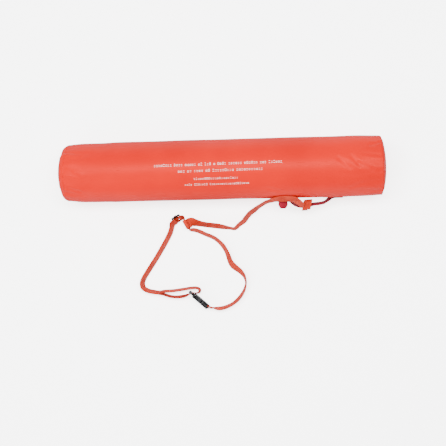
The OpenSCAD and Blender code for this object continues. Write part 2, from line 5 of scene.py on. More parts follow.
import bpy
import bmesh
import numpy as np
from mathutils import Matrix, Vector
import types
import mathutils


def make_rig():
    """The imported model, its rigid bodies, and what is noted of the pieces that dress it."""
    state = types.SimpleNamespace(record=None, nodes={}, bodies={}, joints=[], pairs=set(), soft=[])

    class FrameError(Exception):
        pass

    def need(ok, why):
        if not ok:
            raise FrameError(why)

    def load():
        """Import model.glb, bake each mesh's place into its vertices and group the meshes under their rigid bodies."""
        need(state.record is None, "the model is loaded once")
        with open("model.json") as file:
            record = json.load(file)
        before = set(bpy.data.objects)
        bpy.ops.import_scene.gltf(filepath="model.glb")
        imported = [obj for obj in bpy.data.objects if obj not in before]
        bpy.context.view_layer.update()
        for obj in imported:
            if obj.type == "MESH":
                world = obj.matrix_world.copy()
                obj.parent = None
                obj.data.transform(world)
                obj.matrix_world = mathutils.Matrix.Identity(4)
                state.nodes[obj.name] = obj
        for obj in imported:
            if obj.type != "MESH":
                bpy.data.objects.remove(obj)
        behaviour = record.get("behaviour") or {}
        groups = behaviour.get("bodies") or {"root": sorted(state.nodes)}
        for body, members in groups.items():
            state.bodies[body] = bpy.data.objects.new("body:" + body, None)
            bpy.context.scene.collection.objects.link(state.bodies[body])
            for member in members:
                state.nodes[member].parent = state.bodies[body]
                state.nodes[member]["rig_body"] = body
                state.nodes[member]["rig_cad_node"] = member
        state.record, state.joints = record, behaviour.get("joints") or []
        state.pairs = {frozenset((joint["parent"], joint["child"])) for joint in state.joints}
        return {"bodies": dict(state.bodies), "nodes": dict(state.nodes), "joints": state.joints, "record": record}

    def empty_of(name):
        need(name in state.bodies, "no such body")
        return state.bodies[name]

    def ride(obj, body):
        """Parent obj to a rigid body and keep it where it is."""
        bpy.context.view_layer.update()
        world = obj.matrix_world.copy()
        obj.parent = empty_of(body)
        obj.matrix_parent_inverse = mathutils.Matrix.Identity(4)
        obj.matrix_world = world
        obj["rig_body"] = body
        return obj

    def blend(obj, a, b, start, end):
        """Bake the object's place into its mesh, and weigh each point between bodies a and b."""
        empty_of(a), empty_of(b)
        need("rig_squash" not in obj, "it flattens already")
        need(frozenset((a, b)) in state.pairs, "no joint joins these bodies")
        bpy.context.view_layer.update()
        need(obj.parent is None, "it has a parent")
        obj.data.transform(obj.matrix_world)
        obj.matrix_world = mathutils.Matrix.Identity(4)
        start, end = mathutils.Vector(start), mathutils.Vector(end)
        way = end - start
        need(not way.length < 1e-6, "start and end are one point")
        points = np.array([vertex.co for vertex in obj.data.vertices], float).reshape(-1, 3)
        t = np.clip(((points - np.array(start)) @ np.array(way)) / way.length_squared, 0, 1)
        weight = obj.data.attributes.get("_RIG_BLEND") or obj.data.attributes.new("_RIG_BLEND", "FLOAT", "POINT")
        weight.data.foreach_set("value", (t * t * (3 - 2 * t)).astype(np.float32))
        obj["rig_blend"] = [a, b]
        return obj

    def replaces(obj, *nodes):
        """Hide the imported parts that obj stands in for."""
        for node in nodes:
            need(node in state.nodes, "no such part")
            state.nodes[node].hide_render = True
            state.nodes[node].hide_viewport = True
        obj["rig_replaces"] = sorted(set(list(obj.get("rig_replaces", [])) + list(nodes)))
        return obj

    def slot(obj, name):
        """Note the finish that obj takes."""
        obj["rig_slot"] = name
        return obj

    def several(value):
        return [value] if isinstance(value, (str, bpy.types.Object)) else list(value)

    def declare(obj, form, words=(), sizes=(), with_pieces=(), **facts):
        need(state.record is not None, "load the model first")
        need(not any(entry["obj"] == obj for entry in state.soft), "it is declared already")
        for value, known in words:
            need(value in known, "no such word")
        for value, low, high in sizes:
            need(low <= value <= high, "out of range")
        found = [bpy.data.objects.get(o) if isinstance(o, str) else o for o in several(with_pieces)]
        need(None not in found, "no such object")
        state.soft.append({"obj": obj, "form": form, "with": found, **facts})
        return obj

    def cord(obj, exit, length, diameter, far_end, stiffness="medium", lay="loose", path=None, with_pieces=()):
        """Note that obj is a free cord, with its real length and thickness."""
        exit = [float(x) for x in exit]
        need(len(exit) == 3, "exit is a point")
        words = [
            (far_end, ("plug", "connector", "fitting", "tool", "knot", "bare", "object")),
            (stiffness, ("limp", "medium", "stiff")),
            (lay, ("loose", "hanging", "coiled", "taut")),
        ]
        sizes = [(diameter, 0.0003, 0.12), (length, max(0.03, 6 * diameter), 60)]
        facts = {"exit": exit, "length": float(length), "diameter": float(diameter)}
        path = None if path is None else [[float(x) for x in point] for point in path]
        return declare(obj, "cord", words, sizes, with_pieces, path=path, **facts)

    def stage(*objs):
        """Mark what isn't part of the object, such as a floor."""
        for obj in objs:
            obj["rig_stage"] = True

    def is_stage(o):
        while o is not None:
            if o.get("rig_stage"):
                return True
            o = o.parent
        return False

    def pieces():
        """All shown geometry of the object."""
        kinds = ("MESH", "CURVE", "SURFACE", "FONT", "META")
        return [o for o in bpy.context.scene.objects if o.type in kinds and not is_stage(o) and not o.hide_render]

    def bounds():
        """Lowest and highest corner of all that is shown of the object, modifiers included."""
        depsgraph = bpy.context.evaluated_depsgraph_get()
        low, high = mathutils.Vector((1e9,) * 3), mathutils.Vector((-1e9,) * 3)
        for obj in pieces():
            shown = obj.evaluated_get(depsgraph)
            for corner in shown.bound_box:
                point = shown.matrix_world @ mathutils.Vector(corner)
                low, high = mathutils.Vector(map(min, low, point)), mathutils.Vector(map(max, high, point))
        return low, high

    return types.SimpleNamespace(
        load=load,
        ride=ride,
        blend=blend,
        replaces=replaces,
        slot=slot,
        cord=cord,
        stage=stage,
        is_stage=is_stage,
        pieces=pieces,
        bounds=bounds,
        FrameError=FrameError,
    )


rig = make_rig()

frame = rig.load()
cad_low, cad_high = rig.bounds()
scene = bpy.context.scene
MM = 0.001
WEB_W = 25.0   # width of the belt, the leash and the handle
WEB_T = 2.0    # drawn thickness of a lying strap, a little over the CAD's 1.6
FOLD_T = 1.6   # drawn thickness of the folds, the collar and the inner hitch wrap

# ---------- camera ----------

camera_data = bpy.data.cameras.new("camera")
camera_data.lens = 67.83
camera_data.sensor_width = 36
camera = bpy.data.objects.new("camera", camera_data)
scene.collection.objects.link(camera)
camera.location = (0.1600, -0.2289, 2.1912)
camera.rotation_euler = Matrix(
    ((0.99701, 0.02170, 0.07410), (-0.01803, 0.99859, -0.04984), (-0.07507, 0.04836, 0.99600))
).to_euler()
scene.camera = camera

# ---------- materials ----------


class Nodes:
    """Adds shader nodes to a material and joins them."""

    def __init__(self, material):
        self.tree = material.node_tree
        self.shader = self.tree.nodes["Principled BSDF"]

    def add(self, kind, **values):
        node = self.tree.nodes.new(kind)
        for key, value in values.items():
            setattr(node, key, value)
        return node

    def link(self, a, b):
        self.tree.links.new(a, b)

    def math(self, operation, a, b=None):
        node = self.add("ShaderNodeMath", operation=operation)
        for socket, value in zip(node.inputs, (a, b)):
            if value is None:
                continue
            if isinstance(value, (int, float)):
                socket.default_value = value
            else:
                self.link(value, socket)
        return node.outputs[0]

    def bump(self, height, strength, distance):
        node = self.add("ShaderNodeBump")
        node.inputs["Strength"].default_value = strength
        node.inputs["Distance"].default_value = distance
        self.link(height, node.inputs["Height"])
        self.link(node.outputs["Normal"], self.shader.inputs["Normal"])

    def mottle(self, low, high, scale, coordinates=None, detail=3.0):
        """Base colour that wanders between two colours."""
        noise = self.add("ShaderNodeTexNoise")
        noise.inputs["Scale"].default_value = scale
        noise.inputs["Detail"].default_value = detail
        where = self.add("ShaderNodeTexCoord")
        self.link(where.outputs["Object" if coordinates is None else coordinates], noise.inputs["Vector"])
        ramp = self.add("ShaderNodeValToRGB")
        ramp.color_ramp.elements[0].position = 0.35
        ramp.color_ramp.elements[0].color = (*low, 1)
        ramp.color_ramp.elements[1].position = 0.65
        ramp.color_ramp.elements[1].color = (*high, 1)
        self.link(noise.outputs["Fac"], ramp.inputs["Fac"])
        self.link(ramp.outputs["Color"], self.shader.inputs["Base Color"])
        return noise.outputs["Fac"]


def material(name, color, roughness, specular=0.5, tint=(1, 1, 1)):
    m = bpy.data.materials.new(name)
    m.use_nodes = True
    shader = m.node_tree.nodes["Principled BSDF"]
    shader.inputs["Base Color"].default_value = (*color, 1)
    shader.inputs["Roughness"].default_value = roughness
    shader.inputs["Specular IOR Level"].default_value = specular
    shader.inputs["Specular Tint"].default_value = (*tint, 1)
    return m


def skin_material(name, low, high):
    """Coated fabric: glossy, with the faint grid of the cloth under the coating."""
    m = material(name, high, 0.4, specular=0.16, tint=(1.0, 0.2, 0.15))
    n = Nodes(m)
    n.mottle(low, high, 7.0)
    where = n.add("ShaderNodeTexCoord")
    grain = n.add("ShaderNodeTexNoise")
    grain.inputs["Scale"].default_value = 900
    n.link(where.outputs["Object"], grain.inputs["Vector"])
    n.bump(grain.outputs["Fac"], 0.12, 0.0002)
    return m


def webbing_material(name, low, high, roughness=0.6):
    """Woven strap: UV is in centimetres across and along the strap."""
    m = material(name, high, roughness, specular=0.12, tint=(1.0, 0.45, 0.4))
    n = Nodes(m)
    n.mottle(low, high, 40.0)
    uv = n.add("ShaderNodeUVMap")
    split = n.add("ShaderNodeSeparateXYZ")
    n.link(uv.outputs["UV"], split.inputs["Vector"])
    across, along = split.outputs["X"], split.outputs["Y"]
    columns = n.math("MULTIPLY", across, 6.5)
    zigzag = n.math("ABSOLUTE", n.math("SUBTRACT", n.math("FRACT", columns), 0.5))
    rows = n.math("ADD", n.math("MULTIPLY", along, 7.0), zigzag)
    ribs = n.math("ABSOLUTE", n.math("SINE", n.math("MULTIPLY", rows, math.pi)))
    cords = n.math("ABSOLUTE", n.math("SINE", n.math("MULTIPLY", columns, math.pi)))
    n.bump(n.math("MULTIPLY", ribs, n.math("POWER", cords, 0.4)), 0.6, 0.0003)
    return m


SKIN = skin_material("skin", (0.35, 0.0022, 0.0001), (0.40, 0.0030, 0.0001))
PATCH = skin_material("patch_skin", (0.31, 0.0022, 0.0002), (0.36, 0.0030, 0.0002))
STRAP = webbing_material("strap_webbing", (0.25, 0.0120, 0.0030), (0.33, 0.0190, 0.005))
CRIMSON = webbing_material("handle_webbing", (0.12, 0.0008, 0.0080), (0.17, 0.0016, 0.0140), 0.5)
THREAD = material("thread", (0.24, 0.013, 0.004), 0.6, specular=0.2)
CRIMSON_THREAD = material("crimson_thread", (0.12, 0.001, 0.010), 0.6, specular=0.2)
BLACK = material("buckle_plastic", (0.003, 0.003, 0.0035), 0.3, specular=0.13)
WHITE_INK = material("print_ink", (0.60, 0.55, 0.52), 0.45, specular=0.3)
VALVE = material("valve_plastic", (0.55, 0.57, 0.58), 0.3, specular=0.5)
FLOOR = material("floor", (0.8, 0.8, 0.8), 0.9, specular=0.0)
FLOOR.node_tree.nodes["Principled BSDF"].inputs["Emission Color"].default_value = (1, 1, 1, 1)
FLOOR.node_tree.nodes["Principled BSDF"].inputs["Emission Strength"].default_value = 3.5

for m, low, high, scale in (
    (THREAD, (0.20, 0.010, 0.003), (0.27, 0.016, 0.004), 300.0),
    (CRIMSON_THREAD, (0.10, 0.001, 0.008), (0.15, 0.002, 0.013), 300.0),
    (BLACK, (0.002, 0.002, 0.0025), (0.004, 0.004, 0.005), 60.0),
    (WHITE_INK, (0.42, 0.31, 0.27), (0.58, 0.50, 0.47), 60.0),
    (VALVE, (0.50, 0.52, 0.53), (0.58, 0.60, 0.61), 50.0),
):
    Nodes(m).mottle(low, high, scale)

# ---------- making meshes ----------


def mesh_object(name, points, faces, mat, uvs=None, smooth=True):
    """points in millimetres, in the row frame."""
    mesh = bpy.data.meshes.new(name)
    mesh.from_pydata([tuple(c * MM for c in p) for p in points], [], faces)
    mesh.materials.append(mat)
    if uvs is not None:
        layer = mesh.uv_layers.new(name="UVMap")
        for polygon, values in zip(mesh.polygons, uvs):
            for loop, value in zip(polygon.loop_indices, values):
                layer.data[loop].uv = value
    mesh.polygons.foreach_set("use_smooth", [smooth] * len(mesh.polygons))
    mesh.update()
    o = bpy.data.objects.new(name, mesh)
    scene.collection.objects.link(o)
    return o


def smooth_by_angle(o, degrees):
    with bpy.context.temp_override(object=o, selected_editable_objects=[o], active_object=o):
        bpy.ops.object.shade_smooth_by_angle(angle=math.radians(degrees))


def joined(name, objects):
    """One object out of several."""
    target = objects[0]
    with bpy.context.temp_override(active_object=target, selected_editable_objects=objects, object=target):
        bpy.ops.object.join()
    target.name = name
    target.data.name = name
    return target


def spline(points, step):
    """A smooth line through points of any dimension, with about one point per step of length."""
    p = np.array(points, float)
    p = np.vstack([2 * p[0] - p[1], p, 2 * p[-1] - p[-2]])
    out = []
    for i in range(1, len(p) - 2):
        a, b, c, d = p[i - 1 : i + 3]
        t0 = 0.0
        t1 = t0 + max(np.linalg.norm(b[:3] - a[:3]), 1e-6) ** 0.5
        t2 = t1 + max(np.linalg.norm(c[:3] - b[:3]), 1e-6) ** 0.5
        t3 = t2 + max(np.linalg.norm(d[:3] - c[:3]), 1e-6) ** 0.5
        n = max(1, round(np.linalg.norm(c[:3] - b[:3]) / step))
        for k in range(n):
            t = t1 + (t2 - t1) * k / n
            a1 = (t1 - t) / (t1 - t0) * a + (t - t0) / (t1 - t0) * b
            a2 = (t2 - t) / (t2 - t1) * b + (t - t1) / (t2 - t1) * c
            a3 = (t3 - t) / (t3 - t2) * c + (t - t2) / (t3 - t2) * d
            b1 = (t2 - t) / (t2 - t0) * a1 + (t - t0) / (t2 - t0) * a2
            b2 = (t3 - t) / (t3 - t1) * a2 + (t - t1) / (t3 - t1) * a3
            out.append((t2 - t) / (t2 - t1) * b1 + (t - t1) / (t2 - t1) * b2)
    out.append(p[-2])
    return np.array(out)


UP = np.array([0.0, 0.0, 1.0])


def unit(v):
    return v / max(np.linalg.norm(v), 1e-9)


def web_section(w, t):
    """Corners of a strap's section, [across, through], with rounded edges."""
    a, b = w / 2, t / 2
    face = [-0.93, -0.6, -0.2, 0.2, 0.6, 0.93]
    top = [(a * f, b) for f in face]
    right = [(a * 0.985, b * 0.72), (a, 0), (a * 0.985, -b * 0.72)]
    bottom = [(a * f, -b) for f in reversed(face)]
    left = [(-a * 0.985, -b * 0.72), (-a, 0), (-a * 0.985, b * 0.72)]
    return top + right + bottom + left


def swept(name, line, headings, leans, mat, w, t, closed=False):
    section = web_section(w, t)
    n, rings = len(section), len(line)
    points = []
    for p, h, lean in zip(line, headings, leans):
        left = unit(np.cross(UP, h)) if abs(h[2]) < 0.999 else np.array([0.0, 1.0, 0.0])
        across = math.cos(lean) * np.cross(h, left) + math.sin(lean) * left
        through = np.cross(h, across)
        points += [p + q[0] * across + q[1] * through for q in section]
    lengths = np.concatenate([[0], np.cumsum(np.linalg.norm(np.diff(line, axis=0), axis=1))])
    faces, uvs = [], []
    last = rings if closed else rings - 1
    for i in range(last):
        j = (i + 1) % rings
        v0 = lengths[i] / 10
        v1 = (lengths[j] if j else lengths[i] + 1) / 10
        for k in range(n):
            m = (k + 1) % n
            faces.append((i * n + k, j * n + k, j * n + m, i * n + m))
            u0, u1 = section[k][0] / 10, section[m][0] / 10
            uvs.append(((u0, v0), (u0, v1), (u1, v1), (u1, v0)))
    if not closed:
        for ring, order in ((0, range(n)), (rings - 1, reversed(range(n)))):
            order = list(order)
            faces.append(tuple(ring * n + k for k in order))
            uvs.append(tuple((section[k][0] / 10, 0) for k in order))
    return mesh_object(name, points, faces, mat, uvs)


def headings_of(line, start=None, end=None):
    h = np.gradient(line, axis=0)
    h = h / np.linalg.norm(h, axis=1)[:, None]
    for angle, order in ((start, range(0, 4)), (end, range(len(line) - 1, len(line) - 5, -1))):
        if angle is not None:
            fixed = np.array([math.cos(math.radians(angle)), math.sin(math.radians(angle)), 0])
            for k, i in enumerate(order):
                h[i] = unit(fixed * (1 - k / 4) + h[i] * k / 4)
    return h


def webbing(name, route, mat, w=WEB_W, t=WEB_T, start=None, end=None, step=1.5):
    """A strap along a route of [x, y, z, lean in degrees]. Returns it and its middle line in metres."""
    fine = spline(route, step)
    line = fine[:, :3]
    o = swept(name, line, headings_of(line, start, end), np.radians(fine[:, 3]), mat, w, t)
    return o, (line * MM).tolist()


def length_of(path):
    return float(np.linalg.norm(np.diff(np.array(path), axis=0), axis=1).sum())


# ---------- cords ----------

GLIDE_AT = np.array([-122.0, -107.0, 15.4])
GLIDE_ANGLE = math.radians(30)
GLIDE_LEAN = math.radians(-23)


def glide_point(u, v, h=0.0):
    """A point of the tri-glide's own frame: u along the strap, v outwards, h across the strap."""
    y = v * math.cos(GLIDE_LEAN) - h * math.sin(GLIDE_LEAN)
    z = v * math.sin(GLIDE_LEAN) + h * math.cos(GLIDE_LEAN)
    c, s = math.cos(GLIDE_ANGLE), math.sin(GLIDE_ANGLE)
    return [GLIDE_AT[0] + u * c - y * s, GLIDE_AT[1] + u * s + y * c, GLIDE_AT[2] + z]


def beside(route, d, lean):
    p = np.array(route, float)
    out = []
    for i in range(1, len(p)):
        t = unit(p[min(i + 1, len(p) - 1)] - p[i - 1])
        out.append([p[i][0] - d * t[1], p[i][1] + d * t[0], p[i][2], lean])
    return out


LEASH = [
    [207.6, -84.5, 73, -20], [203, -82.5, 75, -24], [197.5, -78, 78.5, -28],
    [190.5, -73, 83, -31], [183, -69.2, 88, -32], [173, -67.7, 91, -30],
    [164, -66.9, 91.5, -30], [152, -66.9, 90.5, -29], [141, -67.5, 87.5, -25],
    [132, -68.5, 82.5, -20], [123.5, -70.19, 76.31, -16], [113, -72.67, 68.12, -14],
    [100.5, -78.06, 57.94, -14], [88.5, -84.55, 47.75, -19], [78.5, -91.44, 39.06, -25],
    [68.8, -98.62, 30.38, -24], [60, -107.31, 21.69, -24], [52, -116.5, 14.5, -25],
    [40, -125.4, 12.8, -20], [32.5, -132.5, 12.8, -18], [27.5, -135.4, 12.8, -15],
    [15, -133.3, 12.8, -15], [-2, -130, 12.6, -25], [-19, -127, 12.4, -29],
    [-44, -123.6, 12.4, -29], [-61, -120.4, 12.6, -33], [-74, -117.2, 13.6, -45],
    [-85, -115.4, 14.8, -66], [-92.7, -119.2, 15.4, -88],
]
LONG_RUN_HEAD = [
    [*glide_point(13.2, -3.3), 23],
    [-106.3, -101.7, 16.4, 15], [-103.9, -101.9, 16.3, 8], [-102.9, -104.1, 16.1, 4],
    [-103.6, -107.8, 15.9, 0], [-103, -111.6, 15.6, 0],
    [-97.2, -121.8, 15.4, 0],
]
LONG_RUN = [
    [-97.2, -121.8, 15.4, 0], [-91.5, -131.8, 15.2, 7], [-89.2, -134.6, 14.8, 11],
    [-85.3, -135.8, 14.2, 16], [-79, -136.2, 13.4, 20], [-71, -138, 12.8, 22],
    [-60, -142.4, 12.6, 23], [-48.5, -148, 12.6, 22], [-27.5, -157.2, 12.5, 23],
    [-14.2, -167.2, 12.5, 24], [-3.4, -178.6, 12.4, 27], [4.6, -192, 12.4, 27],
    [10, -205, 12.2, 31], [16, -221.8, 12, 35], [22.2, -230.8, 11.8, 40],
    [30.6, -238, 11.9, 36], [40.6, -246, 12, 31], [49.2, -256.2, 12.5, 22],
    [53.6, -267.4, 12.8, 13], [54.6, -277, 12.8, 10], [50.1, -294.4, 12.8, 16],
    [42.4, -307.5, 12.6, 20], [33.6, -318, 12.6, 21], [17.7, -330.6, 12.6, 19],
    [-4, -339.4, 13.4, 20], [-19, -341, 15.4, 17], [-31.6, -338.65, 16.9, 0],
]
PAIR = [
    [-133, -122, 16.8], [-136, -129, 16], [-140.4, -142.5, 14.8], [-147.4, -156.5, 13.6],
    [-157.6, -174.5, 12.8], [-168.4, -192.5, 12.6], [-180, -211.1, 12.6], [-192.2, -229.5, 12.6],
    [-202.6, -245.3, 12.6], [-211.3, -259.5, 12.6], [-215.9, -273, 12.6], [-213, -284.8, 12.6],
    [-203, -291.6, 12.6], [-188.5, -295.6, 12.6], [-171, -298, 12.6],
]
SEWN_RUN = [
    [*glide_point(-11.8, -5.5), -23], [-131.9, -119.5, 17.1, -23], [-133.2, -122.9, 16.7, -18],
    *beside(PAIR, 1.05, -17),
    [-160, -294.8, 12.8, -15], [-134, -293.4, 12.8, -15], [-108, -290, 13.2, -15],
    [-88, -287.2, 14.6, -14], [-75, -286.8, 15.8, -12], [-67.6, -289.2, 16.5, -10],
    [-65.2, -293.6, 16.9, -9], [-67.2, -298.6, 16.9, -8], [-74, -300.4, 16.9, -6],
    [-81, -299.2, 16.9, -3], [-86.5, -300.4, 16.9, 0],
]
FREE_RUN = [
    [-86.7, -300.5, 16.9, 0], [-92, -303, 16.9, 6], [-99, -305.8, 16, 13], [-111, -308.6, 14, 16],
    [-131, -309.5, 12.8, 13], [-145, -307.4, 12.8, 12], [-159, -302.6, 12.8, 11],
    *reversed(beside(PAIR, -1.05, 17)),
    [-136.4, -122.2, 16.5, 18], [-134.7, -118.4, 16.5, 23], [*glide_point(-13.2, -3.3), 23],
]

leash, leash_path = webbing("leash", LEASH, STRAP, start=180, end=210)
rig.blend(leash, "handle", "float", start=(0.2076, -0.0845, 0.073), end=(0.146, -0.067, 0.089))
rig.replaces(leash, "leash_webbing")
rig.slot(leash, "strap_webbing")

belt_head, _ = webbing("belt_at_slider", LONG_RUN_HEAD, STRAP, start=30)
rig.blend(belt_head, "slider", "float", start=(-0.1092, -0.1032, 0.0165), end=(-0.1025, -0.110, 0.0158))
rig.slot(belt_head, "strap_webbing")

belt, belt_path = webbing("belt_long_run_strap", LONG_RUN, STRAP, end=168.5)
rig.blend(belt, "float", "buckle_male", start=(0.016, -0.299, 0.013), end=(-0.024, -0.344, 0.013))
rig.replaces(belt, "belt_long_run")
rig.slot(belt, "strap_webbing")

sewn, sewn_path = webbing("belt_sewn_run_strap", SEWN_RUN, STRAP, start=210, end=200)
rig.blend(sewn, "slider", "float", start=(-0.131, -0.118, 0.0165), end=(-0.154, -0.171, 0.013))
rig.replaces(sewn, "belt_sewn_run")
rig.slot(sewn, "strap_webbing")

free, free_path = webbing("belt_free_run_strap", FREE_RUN, STRAP, start=200, end=30)
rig.blend(free, "slider", "float", start=(-0.131, -0.118, 0.0165), end=(-0.154, -0.171, 0.013))
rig.replaces(free, "belt_free_run")
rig.slot(free, "strap_webbing")

# ---------- tube ----------

TUBE_R, HALF_LEN, AXIS_Y = 76.5, 415.0, 13.0
# at each end: where the weld lies, how much the skin tapers, and the disc's dome, edge and corner
SEAM = {-1: 26.0, 1: 17.0}
TAPER = {-1: 3.8, 1: 1.9}
DISC = {-1: (165.0, 61.0, 18.5), 1: (230.0, 63.5, 13.0)}
OUT = {-1: -0.6, 1: -2.2}   # how far each disc reaches past its nominal place: both stop short of it


def skin_r(s, side):
    return TUBE_R if s >= 75 else TUBE_R - TAPER[side] * ((75 - s) / 50) ** 2.2


def around(theta):
    return (theta + math.pi) % (2 * math.pi) - math.pi


def ramp(x, low, high):
    t = min(1.0, max(0.0, (x - low) / (high - low)))
    return t * t * (3 - 2 * t)


class End:
    """The puckers that the end weld leaves in the skin. Angles are from the top, towards -Y."""

    def __init__(self, seed, count, seam, special):
        r = random.Random(seed)
        self.seam = seam
        self.puckers = list(special)
        for k in range(count):
            angle = 2 * math.pi * (k + r.uniform(-0.5, 0.5)) / count
            deep, reach = r.uniform(0.3, 1.0) ** 1.5 * 1.7, r.uniform(16, 60)
            width, drift = math.radians(r.uniform(2.6, 6.5)), r.uniform(-0.003, 0.003)
            self.puckers.append((angle, deep, reach, width, drift))
        # the broad dimples that tension leaves between the weld and the full radius
        self.dimples = [
            (r.uniform(0, 2 * math.pi), r.uniform(0.3, 0.9), r.uniform(30, 88), r.uniform(9, 20))
            for _ in range(18)
        ]

    def depth(self, theta, s):
        """How far the skin is pulled in at distance s from the tube's end."""
        along = s - self.seam
        total = 0.0
        for angle, deep, reach, width, drift in self.puckers:
            d = around(theta - angle - drift * along) / (width * (1 + max(along, 0) / 70))
            if abs(d) < 4:
                if along >= 0:
                    fade = math.exp(-((along / reach) ** 1.6))
                else:
                    fade = math.exp(-((along / 13) ** 2))
                total += deep * fade * (math.exp(-d * d) - 0.38 * math.exp(-((abs(d) - 2.1) ** 2)))
        for angle, deep, where, size in self.dimples:
            d = around(theta - angle) * TUBE_R / size
            a = (s - where) / (size * 1.3)
            if abs(d) < 3 and abs(a) < 3:
                total += deep * math.exp(-d * d - a * a)
        return total


LEFT_END = End(11, 19, SEAM[-1], [])
RIGHT_END = End(29, 17, SEAM[1], [(math.radians(-80), 2.4, 26, math.radians(6), 0.0)])
# Long folds across the highlight: (x, angle) to (x, angle), depth, width.
FOLDS = [
    (-402, 0.02, -352, 0.20, 1.0, 5.0), (-396, -0.10, -366, 0.06, 0.8, 4.5),
    (-392, 0.30, -330, 0.34, 0.6, 6.0), (-388, -0.30, -340, -0.42, 0.7, 5.0),
    (292, -0.16, 318, 0.16, 0.9, 6.0), (322, -0.22, 342, 0.10, 0.9, 5.0),
    (340, 0.02, 372, 0.22, 0.8, 5.5), (352, -0.30, 392, -0.22, 0.7, 4.5),
    (300, 0.34, 352, 0.42, 0.5, 6.0), (372, -0.62, 394, -0.74, 1.2, 4.5),
    (-384, 0.62, -350, 0.78, 0.9, 4.5), (118, 0.80, 150, 0.98, 0.5, 5.0),
    (322, 0.86, 350, 0.70, 0.5, 5.0),
]


def fold_depth(x, theta):
    total = 0.0
    for x0, a0, x1, a1, deep, width in FOLDS:
        if x0 - 25 < x < x1 + 25:
            ax, ay = x1 - x0, (a1 - a0) * TUBE_R
            px, py = x - x0, around(theta - a0) * TUBE_R
            t = (px * ax + py * ay) / (ax * ax + ay * ay)
            t = min(1.0, max(0.0, t))
            d = math.hypot(px - t * ax, py - t * ay) / width
            if d < 4:
                total += deep * (math.exp(-d * d) - 0.35 * math.exp(-((d - 1.8) ** 2)))
    return total


def swell(x, theta):
    """The slow unevenness of a tube of cut and welded sheet."""
    return (
        0.28 * math.sin(x / 61 + 0.7) * math.cos(theta + x / 240)
        + 0.20 * math.sin(x / 37 + 2 * theta)
        + 0.14 * math.sin(x / 23 - 3 * theta + 1.3)
    ) * max(0.0, 1 - (abs(x) / HALF_LEN) ** 8)


def skin_radius(x, theta):
    s = HALF_LEN - abs(x)
    side, end = (1, RIGHT_END) if x > 0 else (-1, LEFT_END)
    pulled = end.depth(theta, s) if s < 170 else 0.0
    slack = 1.1 * ramp(-x, 262, 300)
    return skin_r(s, side) - pulled - slack - fold_depth(x, theta) + swell(x, theta) - 0.2


def end_shift(x, y):
    """The end discs aren't quite square to the tube."""
    low = AXIS_Y - y
    if x < 0:
        return -ramp(-x, 320, 385) * (0.3 + 0.028 * low)
    return ramp(x, 320, 385) * 0.032 * max(0.0, low)


def tube_point(x, theta, r):
    y, z = AXIS_Y - r * math.sin(theta), TUBE_R + r * math.cos(theta)
    return (x + end_shift(x, y), y, max(z, 0.05))


def grid_mesh(name, rows, mat, wrap=True):
    """rows of points, each as long as the others."""
    n = len(rows[0])
    faces = []
    for i in range(len(rows) - 1):
        for k in range(n if wrap else n - 1):
            m = (k + 1) % n
            faces.append((i * n + k, i * n + m, (i + 1) * n + m, (i + 1) * n + k))
    return mesh_object(name, [p for row in rows for p in row], faces, mat)


AROUND = 360
ANGLES = [2 * math.pi * k / AROUND for k in range(AROUND)]


def build_skin():
    left, right = -(HALF_LEN - SEAM[-1]), HALF_LEN - SEAM[1]
    xs = [left + 1.5 * k for k in range(0, 80)]
    right_xs = [right - 1.5 * k for k in range(80, -1, -1)]
    stations = xs + list(np.arange(xs[-1] + 3.5, right_xs[0] - 1, 3.5)) + right_xs
    rows = []
    # the skin's edge turns in over the end disc
    for x, lip in ((left - 0.5, -0.9), (left - 0.7, -0.3)):
        rows.append([tube_point(x, a, skin_radius(left, a) + lip) for a in ANGLES])
    rows += [[tube_point(x, a, skin_radius(x, a)) for a in ANGLES] for x in stations]
    for x, lip in ((right + 0.7, -0.3), (right + 0.5, -0.9)):
        rows.append([tube_point(x, a, skin_radius(right, a) + lip) for a in ANGLES])
    return grid_mesh("inflated_skin", rows, SKIN)


skin = build_skin()
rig.ride(skin, "float")
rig.replaces(skin, "tube_skin")
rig.slot(skin, "skin")


def cap_profile(side):
    """[radius, distance from the tube's end] from the weld to the centre."""
    dome_r, dome_edge, corner_r = DISC[side]
    corner_from = math.asin(dome_edge / dome_r)
    corner_s = dome_r - (dome_r - corner_r) * math.cos(corner_from)
    corner_c = (dome_r - corner_r) * math.sin(corner_from)
    slack = 1.1 if side < 0 else 0.0
    out = [(skin_r(SEAM[side] + d, side) - slack - e, SEAM[side] + d) for d, e in ((4.0, 0.9), (1.0, 0.8))]
    for k in range(16, -1, -1):
        a = corner_from + (math.radians(80) - corner_from) * k / 16
        out.append((corner_c + corner_r * math.sin(a), corner_s - corner_r * math.cos(a)))
    for k in range(29, 0, -1):
        a = corner_from * k / 30
        out.append((dome_r * math.sin(a), dome_r - dome_r * math.cos(a)))
    return out


